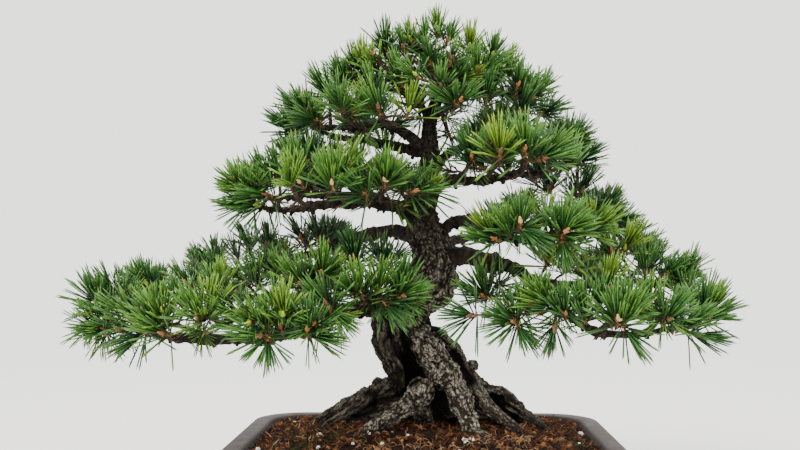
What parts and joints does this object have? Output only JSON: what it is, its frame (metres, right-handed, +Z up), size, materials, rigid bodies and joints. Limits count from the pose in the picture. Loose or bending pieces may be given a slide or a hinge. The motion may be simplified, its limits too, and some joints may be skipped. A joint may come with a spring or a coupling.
{
  "type": "japanese black pine bonsai",
  "caption": "Japanese black pine bonsai: a leaning trunk with surface roots, tiered limbs and needle sprays, planted in a broad-lipped rounded tray pot filled with soil.",
  "frame": {"origin": "on the ground, under the middle of the whole object's box", "axes": "+Z up, +X to the right along the pot's length seen from the front, +Y from the front to the back"},
  "size_m": [0.6936, 0.4332, 0.5588],
  "materials": {
    "pot": "unglazed purple-brown stoneware",
    "soil": "damp reddish-brown bark and peat mulch",
    "bark": "rough grey-brown plated bark",
    "needles": "fresh green pine needles on brown twigs"
  },
  "bodies": {
    "root": {"pot": "pot", "soil": "soil", "trunk": "bark", "spray_left_low_front_1": "needles", "spray_left_low_front_2": "needles", "spray_left_low_front_3": "needles", "spray_left_low_front_4": "needles", "spray_left_low_front_5": "needles", "spray_left_low_front_6": "needles", "spray_left_low_front_7": "needles", "spray_left_low_front_8": "needles", "spray_left_low_mid_1": "needles", "spray_left_low_mid_2": "needles", "spray_left_low_mid_3": "needles", "spray_left_low_back_1": "needles", "spray_left_low_back_2": "needles", "spray_left_low_back_3": "needles", "spray_left_low_back_4": "needles", "spray_left_mid_front_1": "needles", "spray_left_mid_front_2": "needles", "spray_left_mid_front_3": "needles", "spray_left_mid_front_4": "needles", "spray_left_mid_front_5": "needles", "spray_left_mid_back_1": "needles", "spray_left_mid_back_2": "needles", "spray_left_mid_back_3": "needles", "spray_left_high_front_1": "needles", "spray_left_high_front_2": "needles", "spray_left_high_front_3": "needles", "spray_left_high_back_1": "needles", "spray_left_high_back_2": "needles", "spray_right_high_front_1": "needles", "spray_right_high_front_2": "needles", "spray_right_high_front_3": "needles", "spray_right_high_front_4": "needles", "spray_right_high_back_1": "needles", "spray_right_high_back_2": "needles", "spray_right_mid_front_1": "needles", "spray_right_mid_front_2": "needles", "spray_right_mid_front_3": "needles", "spray_right_mid_front_4": "needles", "spray_right_mid_back_1": "needles", "spray_right_mid_back_2": "needles", "spray_right_low_back_1": "needles", "spray_right_low_back_2": "needles", "spray_right_low_back_3": "needles", "spray_right_low_back_4": "needles", "spray_right_low_front_1": "needles", "spray_right_low_front_2": "needles", "spray_right_low_front_3": "needles", "spray_right_low_front_4": "needles", "spray_right_low_front_5": "needles", "spray_crown_left_1": "needles", "spray_crown_left_2": "needles", "spray_crown_right_1": "needles", "spray_crown_right_2": "needles", "spray_crown_back_1": "needles", "spray_crown_back_2": "needles", "spray_crown_top_1": "needles", "spray_crown_top_2": "needles"}
  },
  "joints": []
}
